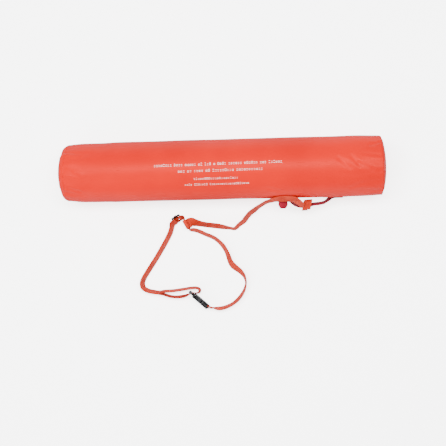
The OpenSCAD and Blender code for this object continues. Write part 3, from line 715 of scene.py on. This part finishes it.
def build_cap(name, side, end):
    rows = []
    for r, s in cap_profile(side):
        row = []
        for a in ANGLES:
            over = math.exp(-(((end.seam - s) / 15) ** 2)) * ramp(r, 20, 58) if s < end.seam else 1.0
            inwards = end.depth(a, end.seam) * over
            ripple = 0.7 * math.sin(3 * a + 1.1 * side) * math.exp(-(((r - 52) / 14) ** 2))
            ripple += 0.5 * math.sin(7 * a + 0.5) * math.exp(-(((r - 62) / 7) ** 2))
            scale = (r - 0.75 * inwards - 0.25) / r
            x = side * (HALF_LEN + OUT[side] - s - 0.55 * inwards - max(0.0, ripple))
            row.append(tube_point(x, a, r * scale))
        rows.append(row)
    n = len(ANGLES)
    points = [p for row in rows for p in row] + [tube_point(side * (HALF_LEN + OUT[side]), 0.0, 0.0)]
    faces = []
    for i in range(len(rows) - 1):
        for k in range(n):
            m = (k + 1) % n
            quad = (i * n + k, i * n + m, (i + 1) * n + m, (i + 1) * n + k)
            faces.append(quad if side > 0 else quad[::-1])
    centre, ring = len(points) - 1, (len(rows) - 1) * n
    for k in range(n):
        tri = (ring + k, ring + (k + 1) % n, centre)
        faces.append(tri if side > 0 else tri[::-1])
    return mesh_object(name, points, faces, SKIN)


def build_weld(name, side, end):
    """The thin weld bead that runs round the edge of the end disc."""
    rows = []
    edge = side * (HALF_LEN - end.seam)
    bead = ((-2.6, -0.35), (-2.2, 0.2), (-1.3, 0.35), (0.0, 0.4), (1.0, 0.3), (1.7, -0.1), (1.9, -0.9))
    for dx, dr in bead:
        rows.append([tube_point(edge + side * dx, a, skin_radius(edge, a) + dr) for a in ANGLES])
    if side < 0:
        rows.reverse()
    return grid_mesh(name, rows, PATCH)


for cap_name, node, side, end in (
    ("left_end_disc", "end_cap_left", -1, LEFT_END),
    ("right_end_disc", "end_cap_right", 1, RIGHT_END),
):
    cap = build_cap(cap_name, side, end)
    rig.ride(cap, "float")
    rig.replaces(cap, node)
    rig.slot(cap, "skin")
    weld = build_weld(cap_name + "_weld", side, end)
    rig.ride(weld, "float")
    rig.slot(weld, "skin")


def pad(name, x0, x1, a0, a1, high, corner, mat, base=0.02):
    """A welded patch on the skin, with round corners and a rolled edge. Angles from the top, towards -Y."""
    nx, na = max(8, round((x1 - x0) / 2)), max(8, round((a1 - a0) * TUBE_R / 2))
    half_x, half_a = (x1 - x0) / 2, (a1 - a0) * TUBE_R / 2
    ring_points = []
    for k in range(96):
        t = 2 * math.pi * k / 96
        c, s = math.cos(t), math.sin(t)
        cx = max(-1.0, min(1.0, c * 1.6)) * (half_x - corner) + corner * c
        ca = max(-1.0, min(1.0, s * 1.6)) * (half_a - corner) + corner * s
        ring_points.append((cx, ca))
    rows = []
    profile = (
        (1.0, base), (1.0, high * 0.7), (0.985, high), (0.93, high * 0.92), (0.9, high * 0.72),
        (0.86, high * 0.95), (0.7, high), (0.45, high), (0.2, high), (0.02, high),
    )
    for share, lift in profile:
        row = []
        for cx, ca in ring_points:
            x = (x0 + x1) / 2 + cx * share
            a = (a0 + a1) / 2 + ca * share / TUBE_R
            row.append(tube_point(x, a, skin_radius(x, a) + lift))
        rows.append(row)
    return grid_mesh(name, rows, mat)


strip = pad("weld_strip", -334, 334, math.pi + 0.51, math.pi + 0.675, 0.5, 4, PATCH)
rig.ride(strip, "float")
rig.replaces(strip, "seam_strip")
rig.slot(strip, "skin")

for patch_name, node, x in (
    ("left_patch", "handle_patch_left", 156), ("right_patch", "handle_patch_right", 286),
):
    patch = pad(patch_name, x - 31, x + 31, math.radians(83), math.radians(127), 0.8, 14, PATCH)
    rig.ride(patch, "float")
    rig.replaces(patch, node)
    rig.slot(patch, "skin")

# ---------- printed rows, with no lettering ----------


def build_print():
    r = random.Random(5)
    points, faces = [], []

    def block(x0, x1, y0, y1, slope):
        n = len(points)
        for x, y in ((x0, y0), (x1, y0), (x1, y1), (x0, y1)):
            a = math.asin((AXIS_Y - (y + slope * x)) / TUBE_R)
            points.append(tube_point(x, a, skin_radius(x, a) + 0.12))
        faces.append((n, n + 1, n + 2, n + 3))

    for x0, x1, y, tall, pitch, words in (
        (-160, 156, 18.2, 6.2, 5.4, (8, 4, 5, 2, 3, 1, 4, 6, 6, 3, 6)),
        (-101, 109, 2.3, 6.0, 5.4, (3, 2, 4, 2, 9, 11)),
        (-63, 48, -16.8, 4.6, 5.2, (21,)),
        (-86, 74, -30.0, 4.2, 4.9, (4, 7, 20)),
    ):
        units = sum(words) + 0.8 * (len(words) - 1)
        cell = (x1 - x0) / units
        x = x0
        for word in words:
            for _ in range(word):
                wide = cell * r.uniform(0.55, 0.74)
                high = tall * r.choice((0.72, 0.72, 0.72, 1.0))
                x_from = x + cell * 0.12
                low = y - tall * 0.36
                kind = r.random()
                if kind < 0.45:
                    # a hollow block
                    bar = cell * 0.13
                    block(x_from, x_from + wide, low, low + bar, 0.0095)
                    block(x_from, x_from + wide, low + high - bar, low + high, 0.0095)
                    block(x_from, x_from + bar, low + bar, low + high - bar, 0.0095)
                    block(x_from + wide - bar, x_from + wide, low + bar, low + high - bar, 0.0095)
                else:
                    bar = high * 0.2
                    block(x_from, x_from + wide, low, low + bar, 0.0095)
                    block(x_from, x_from + wide, low + high - bar, low + high, 0.0095)
                x += cell
            x += cell * 0.8
    return mesh_object("print_rows", points, faces, WHITE_INK, smooth=False)


print_rows = build_print()
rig.ride(print_rows, "float")

# ---------- handle ----------

TAIL_LEFT = [
    [132, -58.9, 44.5, -24], [148, -58.9, 44.5, -24], [159, -58.9, 44.5, -24], [165, -60.3, 44.9, -23],
    [168.5, -63.2, 45.5, -21], [174.2, -69, 46.4, -18],
]
GRIP = [
    [179.5, -74.8, 47.3, -16], [186.3, -79.3, 47.5, -18], [194.3, -82, 47.5, -20], [202, -83.3, 47.5, -20],
    [210.5, -83.5, 47.5, -20], [222, -81, 47.5, -20], [233, -78.3, 47.5, -20], [246.6, -77, 47.5, -20],
    [257.5, -75, 47.3, -19],
]
TAIL_RIGHT = [
    [264.3, -71.7, 47, -17], [269, -68.3, 46, -20], [274, -63.8, 45, -23], [280, -60, 44.5, -24],
    [290, -58.9, 44.5, -24], [306, -58.9, 44.5, -24],
]
left_half, _ = webbing("handle_strap_left", TAIL_LEFT + GRIP[:5], CRIMSON, t=2.2)
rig.blend(left_half, "float", "handle", start=(0.164, -0.060, 0.045), end=(0.184, -0.078, 0.0475))
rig.replaces(left_half, "handle_tail_left", "handle_grip")
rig.slot(left_half, "handle_webbing")
right_half, _ = webbing("handle_strap_right", GRIP[4:] + TAIL_RIGHT, CRIMSON, t=2.2)
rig.blend(right_half, "handle", "float", start=(0.256, -0.0755, 0.0475), end=(0.274, -0.0638, 0.045))
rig.replaces(right_half, "handle_tail_right")
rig.slot(right_half, "handle_webbing")


def build_tab():
    """The handle's free end, folded back on itself: a rounded tongue of two layers."""
    x_mid, fold_y, z_mid, r = 155.0, -85.3, 68.0, 3.1
    line = []
    for y in np.linspace(-64.3, fold_y, 14):
        line.append((y, z_mid + r + 0.5 * math.sin((y + 63) / 9)))
    for k in range(1, 12):
        a = math.pi / 2 + math.pi * k / 12
        line.append((fold_y + r * math.cos(a), z_mid + r * math.sin(a)))
    for y in np.linspace(fold_y, -63.7, 15):
        line.append((y, z_mid - r))
    rows = []
    for y, z in line:
        half = 11.6 * math.sqrt(1 - (1 - min(1.0, (y + 89.6) / 11.0)) ** 2) + 0.25 * math.sin(y * 0.7)
        rows.append([(x_mid + half * f, y, z + 0.35 * math.cos(f * 2.4)) for f in np.linspace(-1, 1, 11)])
    o = grid_mesh("handle_tab_fold", rows, CRIMSON, wrap=False)
    uv = o.data.uv_layers.new(name="UVMap")
    for polygon in o.data.polygons:
        for loop in polygon.loop_indices:
            p = o.data.vertices[o.data.loops[loop].vertex_index].co
            uv.data[loop].uv = (p.x * 100, p.y * 100)
    thick = o.modifiers.new("thickness", "SOLIDIFY")
    thick.thickness = 0.0022
    thick.offset = 0
    return o


tab = build_tab()
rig.ride(tab, "float")
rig.replaces(tab, "handle_tab")
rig.slot(tab, "handle_webbing")

# ---------- loops of webbing ----------


def rounded_loop(half_a, half_b, r, count):
    """Points round a rounded rectangle, evenly spaced."""
    dense = []
    for cx, cy, start in ((half_a - r, half_b - r, 0), (-half_a + r, half_b - r, 90),
                          (-half_a + r, -half_b + r, 180), (half_a - r, -half_b + r, 270)):
        for k in range(33):
            a = math.radians(start + 90 * k / 32)
            dense.append((cx + r * math.cos(a), cy + r * math.sin(a)))
    dense.append(dense[0])
    p = np.array(dense)
    along = np.concatenate([[0], np.cumsum(np.linalg.norm(np.diff(p, axis=0), axis=1))])
    at = np.linspace(0, along[-1], count, endpoint=False)
    return np.stack([np.interp(at, along, p[:, k]) for k in range(2)], axis=1)


def band(name, place, loop, mat, w, t, wobble=0.0):
    """A closed band of webbing: loop points are mapped by place(a, b) to (point, unit across)."""
    section = web_section(w, t)
    n, rings = len(section), len(loop)
    points = []
    for i in range(rings):
        p, across = place(*loop[i])
        q, _ = place(*loop[(i + 1) % rings])
        before, _ = place(*loop[i - 1])
        along = unit(q - before)
        across = unit(across - along * float(across @ along))
        through = np.cross(along, across)
        width = 1 + wobble * math.sin(2 * math.pi * 3 * i / rings + 0.4)
        points += [p + s[0] * width * across + s[1] * through for s in section]
    faces, uvs = [], []
    for i in range(rings):
        j = (i + 1) % rings
        for k in range(n):
            m = (k + 1) % n
            faces.append((i * n + k, j * n + k, j * n + m, i * n + m))
            u0, u1 = section[k][0] / 10, section[m][0] / 10
            v0 = i * 0.12
            uvs.append(((u0, v0), (u0, v0 + 0.12), (u1, v0 + 0.12), (u1, v0)))
    return mesh_object(name, points, faces, mat, uvs)


def hitch_place(x, y, lean):
    def place(a, b):
        return np.array([x + lean * a + 0.02 * b, y + a, 49.5 + b]), unit(np.array([1.0, lean * 0.3, 0.0]))
    return place


inner_loop, outer_loop = rounded_loop(11.6, 16.4, 8.0, 96), rounded_loop(12.6, 17.4, 9.4, 96)
hitch_inner = band("hitch_inner", hitch_place(217.6, -79.3, 0.20), inner_loop, STRAP, 17.5, FOLD_T, 0.05)
hitch_outer = band("hitch_outer", hitch_place(212.5, -80.6, 0.25), outer_loop, STRAP, 13.5, 1.8, 0.08)
hitch = joined("leash_hitch_wraps", [hitch_inner, hitch_outer])
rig.ride(hitch, "handle")
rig.replaces(hitch, "leash_hitch")
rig.slot(hitch, "strap_webbing")

COLLAR_ANGLE = math.radians(-60)


def collar_place(a, b):
    axis = np.array([math.cos(COLLAR_ANGLE), math.sin(COLLAR_ANGLE), 0.0])
    side = np.array([-axis[1], axis[0], 0.0])
    return np.array([-97.2, -121.8, 15.6]) + side * a + UP * b, axis


collar = band("leash_end_collar", collar_place, rounded_loop(4.0, 14.4, 3.2, 80), STRAP, 24, FOLD_T)
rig.ride(collar, "float")
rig.replaces(collar, "leash_end_loop")
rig.slot(collar, "strap_webbing")


def standing(name, plan, place, step=0.8):
    """Webbing on edge along a plan [u, v] in a fitting's frame."""
    fine = spline([[u, v, 0.0, 0.0] for u, v in plan], step)
    section = web_section(WEB_W, FOLD_T)
    n, rings = len(section), len(fine)
    headings = headings_of(fine[:, :3])
    points = []
    for p, h in zip(fine, headings):
        for q in section:
            # square to the strap only where it runs along u or v: on a slant the fold is drawn thinner
            points.append(place(p[0] - h[1] * q[1], p[1] - h[0] * q[1], q[0]))
    faces, uvs = [], []
    for i in range(rings - 1):
        for k in range(n):
            m = (k + 1) % n
            faces.append((i * n + k, i * n + m, (i + 1) * n + m, (i + 1) * n + k))
            u0, u1 = section[k][0] / 10, section[m][0] / 10
            v0, v1 = i * step / 10, (i + 1) * step / 10
            uvs.append(((u0, v0), (u1, v0), (u1, v1), (u0, v1)))
    faces.append(tuple(reversed(range(n))))
    uvs.append(tuple((0, 0) for _ in range(n)))
    faces.append(tuple((rings - 1) * n + k for k in range(n)))
    uvs.append(tuple((0, 0) for _ in range(n)))
    o = mesh_object(name, points, faces, STRAP, uvs)
    bm = bmesh.new()
    bm.from_mesh(o.data)
    bmesh.ops.recalc_face_normals(bm, faces=bm.faces)
    bm.to_mesh(o.data)
    bm.free()
    return o


WRAP = 2.75
GLIDE_FOLD = (
    [(-0.4, -5.3), (1.6, -4.7), (WRAP, -2.5)]
    + [(WRAP * math.cos(math.radians(a)), WRAP * math.sin(math.radians(a))) for a in range(0, 181, 30)]
    + [(-WRAP, -2.5), (-4, -4.8), (-7, -5.5), (-11.6, -5.5)]
)
WEAVE = [
    (13.3, -3.3), (8.4, -3.3), (6.2, -2.2), (5.5, 0), (5.2, 2.2), (3.6, 4.3), (0, 4.9),
    (-3.6, 4.3), (-5.2, 2.2), (-5.5, 0), (-6.2, -2.2), (-8.4, -3.3), (-13.3, -3.3),
]
MALE_FOLD = (
    [(14, -0.95), (8, -1), (4, -2.2)]
    + [(WRAP * math.cos(math.radians(a)), WRAP * math.sin(math.radians(a))) for a in range(270, 89, -30)]
    + [(4, 2.2), (8, 1), (14.1, 0.95)]
)
BUCKLE_AT = np.array([-68.0, -317.0, 16.9])
BUCKLE_ANGLE = math.radians(-41.5)
PULL_ANGLE = math.radians(-11.5)
BUCKLE_U = np.array([math.cos(BUCKLE_ANGLE), math.sin(BUCKLE_ANGLE), 0.0])
BUCKLE_V = np.array([-BUCKLE_U[1], BUCKLE_U[0], 0.0])
MALE_BAR = BUCKLE_AT + BUCKLE_U * 29.4


def male_fold_place(u, v, h):
    c, s = math.cos(PULL_ANGLE), math.sin(PULL_ANGLE)
    return (MALE_BAR[0] + u * c - v * s, MALE_BAR[1] + u * s + v * c, MALE_BAR[2] + h)


weave = standing("belt_weave", WEAVE, glide_point)
fold = standing("belt_glide_fold", GLIDE_FOLD, glide_point)
male_fold = standing("belt_male_fold", MALE_FOLD, male_fold_place)
for o, body, node in (
    (weave, "slider", "belt_slider_weave"), (fold, "slider", "belt_slider_fold"),
    (male_fold, "buckle_male", "belt_buckle_fold"),
):
    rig.ride(o, body)
    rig.replaces(o, node)
    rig.slot(o, "strap_webbing")

# ---------- stitching ----------


def stitch(points, faces, a, b, r=0.28):
    """One thread from a to b, as a thin six-sided rod."""
    along = unit(b - a)
    side = unit(np.cross(along, UP if abs(along[2]) < 0.9 else np.array([1.0, 0, 0])))
    other = np.cross(along, side)
    n = len(points)
    for p in (a, b):
        for k in range(6):
            t = math.pi * k / 3
            points.append(p + r * (math.cos(t) * side + math.sin(t) * other))
    for k in range(6):
        m = (k + 1) % 6
        faces.append((n + k, n + m, n + 6 + m, n + 6 + k))
    faces.append(tuple(n + k for k in reversed(range(6))))
    faces.append(tuple(n + 6 + k for k in range(6)))


def bar_tack(points, faces, at, along, lean, t, width=19.0):
    """A zigzag bar of thread on both faces of a strap."""
    left = unit(np.cross(UP, along))
    across = math.cos(lean) * np.cross(along, left) + math.sin(lean) * left
    through = np.cross(along, across)
    for side in (-1, 1):
        base = at + through * side * (t / 2 + 0.12)
        count = 13
        for k in range(count):
            h0 = width * (k / count - 0.5)
            h1 = width * ((k + 1) / count - 0.5)
            sign = 1 if k % 2 else -1
            zag = along * 0.8 * sign
            stitch(points, faces, base + across * h0 - zag, base + across * h1 + zag)


def tacks_on(route, places, t):
    fine = spline(route, 1.0)
    lengths = np.concatenate([[0], np.cumsum(np.linalg.norm(np.diff(fine[:, :3], axis=0), axis=1))])
    headings = headings_of(fine[:, :3])
    points, faces = [], []
    for place in places:
        i = int(np.searchsorted(lengths, place if place >= 0 else lengths[-1] + place))
        bar_tack(points, faces, fine[i, :3], headings[i], math.radians(fine[i, 3]), t)
    return points, faces


points, faces = tacks_on(LEASH, (56, 59, -46, -40), 1.6)
leash_tacks = mesh_object("leash_tacks", points, faces, THREAD)
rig.blend(leash_tacks, "handle", "float", start=(0.2076, -0.0845, 0.073), end=(0.146, -0.067, 0.089))
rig.replaces(leash_tacks, "leash_stitching")
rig.slot(leash_tacks, "thread")

points, faces = [], []
pull = np.array([math.cos(PULL_ANGLE), math.sin(PULL_ANGLE), 0.0])
pull_side = np.array([-pull[1], pull[0], 0.0])
for u in (9.5, 12.5):
    bar_tack(points, faces, MALE_BAR + pull * u, pull, 0.0, 3.6)
belt_tacks = mesh_object("belt_tacks", points, faces, THREAD)
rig.ride(belt_tacks, "buckle_male")
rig.replaces(belt_tacks, "belt_stitching")
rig.slot(belt_tacks, "thread")


def box_stitch(name, x0, x1, z0, z1, mat):
    """A sewn box with a cross, on the outside of a handle tail against the tube."""
    points, faces = [], []
    outside_r = 79.9   # from the tube's axis to the tail's outer face

    def at(x, z):
        a = math.acos((z - TUBE_R) / outside_r)
        return np.array([x, AXIS_Y - outside_r * math.sin(a), z])

    corners = [(x0, z0), (x1, z0), (x1, z1), (x0, z1)]
    cross = [(corners[0], corners[2]), (corners[1], corners[3])]
    runs = list(zip(corners, corners[1:] + corners[:1])) + cross
    for (xa, za), (xb, zb) in runs:
        count = max(3, round(math.hypot(xb - xa, zb - za) / 2.6))
        for k in range(count):
            s, e = (k + 0.12) / count, (k + 0.82) / count
            stitch(points, faces, at(xa + (xb - xa) * s, za + (zb - za) * s),
                   at(xa + (xb - xa) * e, za + (zb - za) * e), 0.35)
    return mesh_object(name, points, faces, mat)


for stitch_name, x0, x1 in (("left_tail_stitch", 135, 154), ("right_tail_stitch", 285, 303)):
    box = box_stitch(stitch_name, x0, x1, 36.5, 52.5, CRIMSON_THREAD)
    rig.ride(box, "float")

# ---------- hardware, shown from the CAD ----------


def rounded_copy(node, body, mat, width, angle=32):
    """The CAD shape with its edges rounded, in place of the CAD object."""
    mesh = frame["nodes"][node].data.copy()
    mesh.name = node + "_rounded"
    mesh.materials.clear()
    mesh.materials.append(mat)
    o = bpy.data.objects.new(node + "_rounded", mesh)
    o.matrix_world = frame["nodes"][node].matrix_world
    scene.collection.objects.link(o)
    bm = bmesh.new()
    bm.from_mesh(mesh)
    bmesh.ops.remove_doubles(bm, verts=bm.verts, dist=0.00002)
    bmesh.ops.dissolve_limit(bm, angle_limit=math.radians(1.0), verts=bm.verts, edges=bm.edges)
    bm.to_mesh(mesh)
    bm.free()
    bevel = o.modifiers.new("bevel", "BEVEL")
    bevel.width = width * MM
    bevel.segments = 4
    bevel.limit_method = "ANGLE"
    bevel.angle_limit = math.radians(angle)
    smooth_by_angle(o, 40)
    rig.ride(o, body)
    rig.replaces(o, node)
    return o


for node, body, width in (
    ("tri_glide", "slider", 1.1), ("buckle_female", "float", 1.6), ("buckle_male", "buckle_male", 1.3),
    ("prong_upper", "prong_upper", 0.8), ("prong_lower", "prong_lower", 0.8),
):
    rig.slot(rounded_copy(node, body, BLACK, width), "buckle_plastic")
for node, body, width in (
    ("valve_flange", "float", 0.2), ("valve_stem", "valve_stem", 0.3), ("valve_flap", "valve_stem", 0.15),
    ("valve_plug", "valve_plug", 0.4), ("plug_tether", "valve_stem", 0.2),
):
    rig.slot(rounded_copy(node, body, VALVE, width), "valve_plastic")


def rib(name, centre, u, v, w, size, mat):
    """A small rounded bar: size along the three directions."""
    bm = bmesh.new()
    bmesh.ops.create_cube(bm, size=1.0)
    bmesh.ops.bevel(bm, geom=bm.edges[:], offset=0.22, segments=2, affect="EDGES", profile=0.6)
    points = [
        centre + u * (p.co.x * size[0]) + v * (p.co.y * size[1]) + w * (p.co.z * size[2])
        for p in bm.verts
    ]
    faces = [tuple(x.index for x in f.verts) for f in bm.faces]
    bm.free()
    return mesh_object(name, points, faces, mat)


def buckle_rib(name, along, out, size):
    """A bar on the buckle, at a distance along it and out from its middle plane."""
    centre = BUCKLE_AT + BUCKLE_U * along + BUCKLE_V * out
    return rib(name, centre, BUCKLE_U, BUCKLE_V, UP, size, BLACK)


ribs = []
for side in (-1, 1):
    ribs.append(buckle_rib(f"guard_{side}", 21.5, side * 5.1, (20.0, 2.2, 23.0)))
    for u in (13.0, 16.0):
        ribs.append(buckle_rib(f"rib_{u}_{side}", u, side * 6.2, (1.1, 0.8, 21.0)))
male_ribs = joined("buckle_male_ribs", ribs)
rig.ride(male_ribs, "buckle_male")
ribs = []
for side in (-1, 1):
    for u in (-16.5, 6.5):
        ribs.append(buckle_rib(f"rim_{u}_{side}", u, side * 5.5, (1.4, 0.8, 24.0)))
female_ribs = joined("buckle_female_ribs", ribs)
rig.ride(female_ribs, "float")

# ---------- what is declared ----------

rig.cord(leash, exit=leash_path[0], length=round(length_of(leash_path), 3), diameter=0.025, far_end="object",
        stiffness="medium", lay="loose", path=leash_path, with_pieces=[leash_tacks, collar])
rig.cord(belt, exit=belt_path[0], length=round(length_of(belt_path), 3), diameter=0.025, far_end="object",
        stiffness="medium", lay="loose", path=belt_path, with_pieces=[male_fold, belt_tacks])
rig.cord(sewn, exit=sewn_path[0], length=round(length_of(sewn_path), 3), diameter=0.025, far_end="object",
        stiffness="medium", lay="loose", path=sewn_path, with_pieces=[fold])
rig.cord(free, exit=free_path[0], length=round(length_of(free_path), 3), diameter=0.025, far_end="object",
        stiffness="medium", lay="loose", path=free_path, with_pieces=[weave, belt_head])

# ---------- floor and light ----------

FAR, FLOOR_Z = 3000, -0.4
floor_corners = [(-FAR, -FAR, FLOOR_Z), (FAR, -FAR, FLOOR_Z), (FAR, FAR, FLOOR_Z), (-FAR, FAR, FLOOR_Z)]
floor = mesh_object("floor", floor_corners, [(0, 1, 2, 3)], FLOOR)
floor.visible_glossy = False
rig.stage(floor)

world = bpy.data.worlds.new("world")
scene.world = world
world.use_nodes = True
world.node_tree.nodes["Background"].inputs["Color"].default_value = (1.0, 1.0, 1.0, 1)
world.node_tree.nodes["Background"].inputs["Strength"].default_value = 0.7


def area_light(name, place, target, size, power):
    data = bpy.data.lights.new(name, "AREA")
    data.shape = "RECTANGLE"
    data.size, data.size_y = size
    data.energy = power
    o = bpy.data.objects.new(name, data)
    scene.collection.objects.link(o)
    o.location = place
    o.rotation_euler = (Vector(target) - Vector(place)).to_track_quat("-Z", "Y").to_euler()
    return o


area_light("key", (0.0, 0.25, 2.6), (0.0, 0.0, 0.0), (2.6, 0.7), 260)
area_light("fill", (-1.6, -1.8, 2.2), (0.0, -0.1, 0.0), (1.6, 1.6), 70)

low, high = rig.bounds()
with open("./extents.json", "w") as f:
    json.dump({"cad": [list(cad_low), list(cad_high)], "visual": [list(low), list(high)]}, f)
